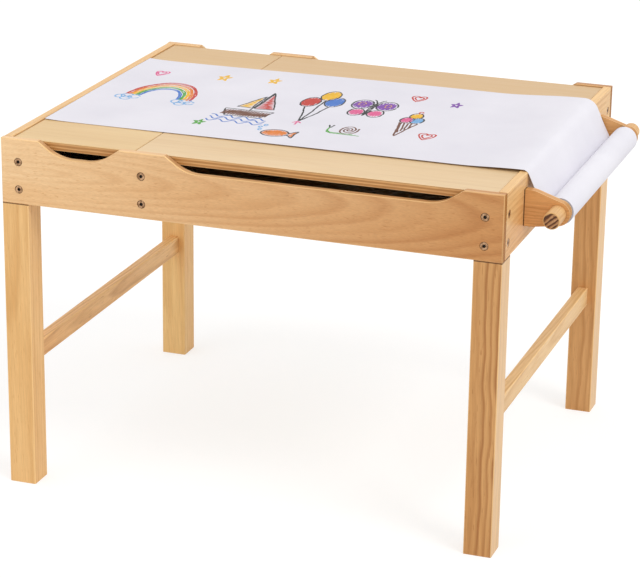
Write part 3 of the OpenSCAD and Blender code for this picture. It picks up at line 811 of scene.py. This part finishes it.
def sheet_mesh(name, lines, material):
    """A thin closed sheet through lines that run along it, spread over the paper's width."""
    bm = bmesh.new()
    low, up = [[[bm.verts.new((point[side][0], y, point[side][1])) for point in line]
                for y, line in zip(spread(PAPER_FRONT, PAPER_REAR, len(lines) - 1), lines)]
               for side in (0, 1)]
    rows, columns = len(lines), len(lines[0])
    for side, grid in enumerate((low, up)):
        for j in range(rows - 1):
            for k in range(columns - 1):
                quad = [grid[j][k], grid[j][k + 1], grid[j + 1][k + 1], grid[j + 1][k]]
                bm.faces.new(quad if side else quad[::-1])
    border = ([(0, k) for k in range(columns)]
              + [(j, columns - 1) for j in range(1, rows)]
              + [(rows - 1, k) for k in range(columns - 2, -1, -1)]
              + [(j, 0) for j in range(rows - 2, 0, -1)])
    for (j0, k0), (j1, k1) in zip(border, border[1:] + border[:1]):
        bm.faces.new((low[j0][k0], low[j1][k1], up[j1][k1], up[j0][k0]))
    bmesh.ops.recalc_face_normals(bm, faces=bm.faces)
    obj = new_object(name, mesh_from(bm, name), material, "paper")
    shade(obj, 50, flat_faces=False)
    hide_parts("paper_sheet")
    return obj


def line_length(line):
    points = [upper for _, upper in line]
    return sum(math.dist(a, b) for a, b in zip(points, points[1:]))


def make_paper():
    white = paper_material("drawing_paper")
    shares = spread(0, 1, STRIPS)
    left = [sheet_line(v, spread(PAPER_END, SEAM, 24)) for v in shares]
    right = [sheet_line(v, spread(SEAM, bend_at(v)[1], 84)) for v in shares]
    first = sheet_mesh("paper_over_left_lid", left, white)
    second = sheet_mesh("paper_over_right_lid", right, white)
    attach(first, "left_lid")
    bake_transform(second)
    half = STRIPS // 2
    line_length(left[half])
    line_length(right[half])


def make_roll():
    """The roll's paper and the cardboard tube in its middle."""
    y0, y1 = ROLL_LO.y, ROLL_HI.y
    core_lo, core_hi = BOX["paper_core"]
    core = (core_hi.z - core_lo.z) / 2
    ease = 0.4 * MM
    profile = [(y0, core), (y0, ROLL_R - ease), (y0 + ease, ROLL_R), (y1 - ease, ROLL_R),
               (y1, ROLL_R - ease), (y1, core), (y0, core)]
    roll = lathe("paper_turns", profile, ROLL_X, ROLL_Z, paper_material("rolled_paper", True))
    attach(roll, "paper_roll")
    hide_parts("paper_roll")
    eased("paper_core", cardboard(), 0.2 * MM, steps=1)


# Crayon motifs, each round its own middle, in cm

CRAYONS = {"yellow": "#EFB91C", "orange": "#E27C1E", "red": "#C4301F", "green": "#4CA032",
           "blue": "#3E74C6", "sky": "#74ACDD", "purple": "#7E42A6", "pink": "#E05A90",
           "brown": "#6A3A20", "black": "#1C1C20"}
LEAN = 0.075   # how far a scribble's lines lean, as a share of their length
INSIDE = 0.92  # how far it goes in its shape, as a share


def arc(x, y, rx, ry, a0=0, a1=360, n=28):
    """Part of an ellipse from a0 to a1 degrees, in n steps."""
    return [(x + rx * math.cos(math.radians(a)), y + ry * math.sin(math.radians(a)))
            for a in spread(a0, a1, n)]


def half_circle(u):
    return math.sqrt(max(0.0, 1 - u * u))


def hatch(x, y, rx, ry, n, shape=half_circle):
    """One back-and-forth scribble that fills a shape round (x, y); shape gives its half height
    as a share of ry at each place across."""
    points = []
    for i, u in enumerate(spread(-INSIDE, INSIDE, n)):
        half = shape(u) * ry * INSIDE
        way = 1 if i % 2 else -1
        points.append((x + rx * u + LEAN * half * way, y + half * way))
    return points


def star(r):
    return [(r * share * math.sin(math.radians(a)), r * share * math.cos(math.radians(a)))
            for a, share in [(36 * i, 0.42 if i % 2 else 1.0) for i in range(11)]]


def heart(r):
    return [(r * math.sin(t) ** 3, r * (0.81 * math.cos(t) - 0.31 * math.cos(2 * t)
                                        - 0.13 * math.cos(3 * t)))
            for t in spread(0, 2 * math.pi, 30)]


def rainbow():
    bands = ("red", "orange", "yellow", "green", "blue")
    for i, colour in enumerate(bands):
        for extra in (0.0, 0.22):
            r = 5.2 - 0.52 * i - extra
            yield colour, arc(0, 0, r, r, 4 * extra, 180 - 6 * extra, 36)
    for side in (-1, 1):
        for x, y, r in ((4.6, -0.3, 0.9), (3.4, -0.5, 0.8), (5.5, -0.7, 0.7), (4.3, -1.1, 0.8)):
            yield "sky", arc(side * x, y, r, 0.7 * r, 20, 360)


def boat():
    yield "brown", hatch(0, -1.1, 3.9, 1.05, 34, shape=lambda u: 1 - 0.25 * abs(u))
    yield "black", [(-4, 0), (4, 0), (2.8, -2.2), (-2.8, -2.2), (-4, 0)]
    yield "black", [(0, 0), (0.1, 6.6)]
    yield "black", [(0.3, 0.6), (3.4, 0.9), (0.3, 6.2), (0.3, 0.6)]
    yield "red", [(0.5 + 2.7 * (1 - u) * (i % 2), 0.9 + 4.9 * u)
                  for i, u in enumerate(spread(0, 0.95, 27))]
    yield "black", [(-0.3, 0.8), (-2.6, 0.9), (-0.3, 5.0), (-0.3, 0.8)]
    yield "yellow", [(-0.5 - 1.9 * (1 - u) * (i % 2), 1.0 + 3.7 * u)
                     for i, u in enumerate(spread(0, 0.95, 21))]
    for k in range(3):
        yield "blue", [(x, -2.6 - 0.75 * k + 0.35 * math.sin(2.6 * x + k))
                       for x in spread(-4.6, 4.6, 60)]


def balloons():
    for x, y, colour in ((-1.9, 7.0, "red"), (1.7, 7.6, "blue"), (0.0, 9.6, "yellow")):
        yield colour, hatch(x, y, 1.35, 1.6, 16)
        yield "black", arc(x, y, 1.4, 1.65, -90, 275)
        yield "black", [(x, y - 1.65), (0.6 * x + 0.15, 3.4), (0.1, 0.4)]
    yield "pink", [(-0.6, -0.2), (0.1, 0.4), (0.8, -0.1), (0.1, 0.4), (0.1, -0.9)]


def butterfly():
    for side in (-1, 1):
        yield "purple", hatch(side * 1.75, 1.35, 1.3, 1.25, 15)
        yield "pink", hatch(side * 1.35, -1.1, 0.95, 0.95, 11)
        yield "black", arc(side * 1.8, 1.35, 1.45, 1.4)
        yield "black", arc(side * 1.4, -1.1, 1.1, 1.1)
        yield "yellow", arc(side * 1.9, 1.45, 0.45, 0.45)
        yield "black", [(0, 2.0), (side * 0.5, 2.8), (side * 1.0, 3.1)]
    yield "black", arc(0, 0, 0.24, 2.0)
    yield "black", [(0, 1.8), (0, -1.8)]


def fish():
    yield "orange", hatch(0, 0, 2.3, 1.2, 20)
    yield "black", arc(0, 0, 2.5, 1.3)
    yield "black", [(2.3, 0.2), (3.8, 1.3), (3.6, 0), (3.8, -1.3), (2.3, -0.2)]
    yield "orange", [(2.6, 0.0), (3.5, 0.8), (3.3, 0), (3.5, -0.8), (2.7, -0.1)]
    yield "black", arc(-1.4, 0.3, 0.22, 0.22, n=10)
    for x, y in ((-3.3, 0.8), (-3.8, 1.7), (-3.2, 2.5)):
        yield "sky", arc(x, y, 0.3, 0.3, n=12)


def snail():
    yield "brown", [(0.5 + 0.075 * t * math.cos(t), 1.5 + 0.075 * t * math.sin(t))
                    for t in spread(0, 6.2 * math.pi, 70)]
    yield "green", [(-2.6, 1.7), (-2.5, 0.4), (-1.6, 0.0), (2.2, 0.0), (3.2, -0.1)]
    yield "green", [(-2.5, 0.7), (-1.9, 0.3), (-1.2, 0.2), (2.0, 0.25)]
    yield "black", [(-2.7, 1.7), (-3.2, 2.6)]
    yield "black", [(-2.5, 1.7), (-2.3, 2.7)]


def ice_cream():
    yield "brown", [(-1.3, 0), (0, -4.2), (1.3, 0), (-1.3, 0)]
    for k in range(4):
        yield "brown", [(-1.1 + 0.55 * k, -0.1), (-0.1 + 0.28 * k, -3.2 + 0.5 * k)]
    for x, y, colour in ((-0.7, 0.9, "pink"), (0.75, 0.95, "sky"), (0.0, 2.3, "yellow")):
        yield colour, hatch(x, y, 0.85, 0.85, 11)
        yield "black", arc(x, y, 0.95, 0.95, -40, 320)
    yield "red", arc(0.1, 3.5, 0.32, 0.32, n=14)


# The drawing

# each motif, its place in cm from the paper's free end and its front edge, and its size
DRAWING = [(rainbow, 10.2, 17.0, 1.0), (boat, 25.4, 15.6, 0.95), (balloons, 33.9, 12.0, 0.95),
           (butterfly, 41.5, 22.5, 1.05), (fish, 33.0, 5.6, 0.8), (snail, 41.8, 8.5, 0.95),
           (ice_cream, 49.0, 17.6, 1.0)]
# colour, shape, place and radius in cm of what stands between them
LOOSE = [("pink", heart, 5.2, 30.5, 1.0), ("yellow", star, 15.2, 31.5, 1.1),
         ("yellow", star, 23.0, 32.5, 1.0), ("red", heart, 46.4, 31.0, 1.1),
         ("purple", star, 52.6, 29.5, 0.9), ("red", heart, 53.4, 12.0, 1.2),
         ("green", star, 20.9, 7.0, 0.9)]
TALL = 1.7             # stretches the motifs to the back, so that they look right from the front
STEP = 2.5 * MM        # between a stroke's points
SHAKE = 0.35 * MM      # of the child's hand
TREMBLE = 9 * MM       # the way for one radian of its shaking
BLACK_W, COLOUR_W = 3.5 * MM, 3.7 * MM
WAX_RIDGE, WAX_EDGE = 0.11 * MM, -0.04 * MM  # heights over the paper


def on_paper(points, along, across, size):
    """Points in cm round a motif's middle, as x and y on the table. The middle is along from
    the paper's free end and across from its front edge."""
    return [(PAPER_END + (along + size * x) * CM, PAPER_FRONT + (across + size * TALL * y) * CM)
            for x, y in points]


def strokes():
    """The whole drawing, as pairs of a colour and a polyline on the table."""
    for motif, along, across, size in DRAWING:
        for colour, points in motif():
            yield colour, on_paper(points, along, across, size)
    for colour, shape, along, across, radius in LOOSE:
        for size in (1, 0.6):
            yield colour, on_paper(shape(radius), along, across, size)


def shaky(points, draw):
    """The polyline in short steps, with the tremble of a child's hand."""
    out = []
    phase = [draw.uniform(0, 6.28) for _ in range(4)]
    run = 0.0
    for (x0, y0), (x1, y1) in zip(points, points[1:]):
        n = max(1, round(math.dist((x0, y0), (x1, y1)) / STEP))
        for u in spread(0, 1, n)[:-1]:
            at = (run + u * n * STEP) / TREMBLE
            out.append((x0 + (x1 - x0) * u + SHAKE * (math.sin(at + phase[0])
                                                      + 0.6 * math.sin(2.7 * at + phase[1])),
                        y0 + (y1 - y0) * u + SHAKE * (math.sin(1.1 * at + phase[2])
                                                      + 0.6 * math.sin(2.3 * at + phase[3]))))
        run += n * STEP
    return out


def add_stroke(bm, points, width, draw):
    """A low ridge of wax along the points: a closed strip with a three-cornered section."""
    rings = []
    for i, (x, y) in enumerate(points):
        a, b = points[max(0, i - 1)], points[min(len(points) - 1, i + 1)]
        run = math.hypot(b[0] - a[0], b[1] - a[1]) or 1.0
        side = (-(b[1] - a[1]) / run, (b[0] - a[0]) / run)
        half = width / 2 * draw.uniform(0.8, 1.15)
        top = under_side(x, (y - PAPER_FRONT) / PAPER_W) + SHEET_T
        rings.append([bm.verts.new((x + side[0] * half * k, y + side[1] * half * k, top + wax))
                      for k, wax in ((1, WAX_EDGE), (0, WAX_RIDGE), (-1, WAX_EDGE))])
    for a, b in zip(rings, rings[1:]):
        for k in range(3):
            bm.faces.new((a[k], a[(k + 1) % 3], b[(k + 1) % 3], b[k]))
    bm.faces.new(rings[0][::-1])
    bm.faces.new(rings[-1])


def make_drawing():
    draw = random.Random(5)
    meshes = {}
    for colour, points in strokes():
        body = "left_lid" if points[0][0] < SEAM else "right_lid"
        bm = meshes.setdefault((body, colour), bmesh.new())
        width = BLACK_W if colour == "black" else COLOUR_W
        add_stroke(bm, shaky(points, draw), width, draw)
    looks = {colour: crayon("crayon_" + colour, tone) for colour, tone in CRAYONS.items()}
    for (body, colour), bm in meshes.items():
        bmesh.ops.recalc_face_normals(bm, faces=bm.faces)
        name = f"crayon_{colour}_on_{body}"
        obj = new_object(name, mesh_from(bm, name), looks[colour], "paper")
        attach(obj, body)


# Stage

FLOOR_SIZE, FLOOR_Z = 14, -0.2 * MM
FLOOR_GREY, SKY = 0.80, 0.80            # for light on its way
SEEN_GREY, GLOW, SEEN_SKY = 0.40, 0.66, 1.0  # for what the camera sees


def seen_ray(tree):
    """1 for what the camera sees, itself or in gloss and glass, and 0 for light on its way."""
    rays = tree.node("ShaderNodeLightPath").outputs
    through = tree.math("MAXIMUM", rays["Is Glossy Ray"], rays["Is Transmission Ray"])
    return tree.math("MAXIMUM", rays["Is Camera Ray"], through)


def floor_material():
    """White to the camera, with the object's shadow on it."""
    tree = Tree("floor_white")
    matt = tree.node("ShaderNodeBsdfDiffuse", {"Color": grey(FLOOR_GREY)})
    dim = tree.node("ShaderNodeBsdfDiffuse", {"Color": grey(SEEN_GREY)})
    glow = tree.node("ShaderNodeEmission", {"Color": grey(1), "Strength": GLOW})
    white = tree.node("ShaderNodeAddShader", {0: dim, 1: glow})
    return tree.surface(tree.node("ShaderNodeMixShader", {0: seen_ray(tree), 1: matt, 2: white}))


def make_floor():
    bpy.ops.mesh.primitive_plane_add(size=FLOOR_SIZE, location=(0, 0, FLOOR_Z))
    floor = bpy.context.object
    floor.name = "floor"
    floor.data.materials.append(floor_material())


def make_sky():
    tree = Tree("studio", world=True)
    light, white = [tree.node("ShaderNodeBackground", {"Color": grey(1), "Strength": strength})
                    for strength in (SKY, SEEN_SKY)]
    mixed = tree.node("ShaderNodeMixShader", {0: seen_ray(tree), 1: light, 2: white})
    bpy.context.scene.world = tree.surface(mixed)


bpy.context.scene.view_settings.view_transform = "Standard"
make_camera()
make_floor()
make_sky()
make_sun("key", 62, 48, 0.95, 22)
make_sun("fill", -38, 38, 0.30, 40)
make_aprons()
make_legs_and_rails()
make_bins_and_lids()
make_brackets()
make_dowel()
make_fasteners()
make_paper()
make_roll()
make_drawing()
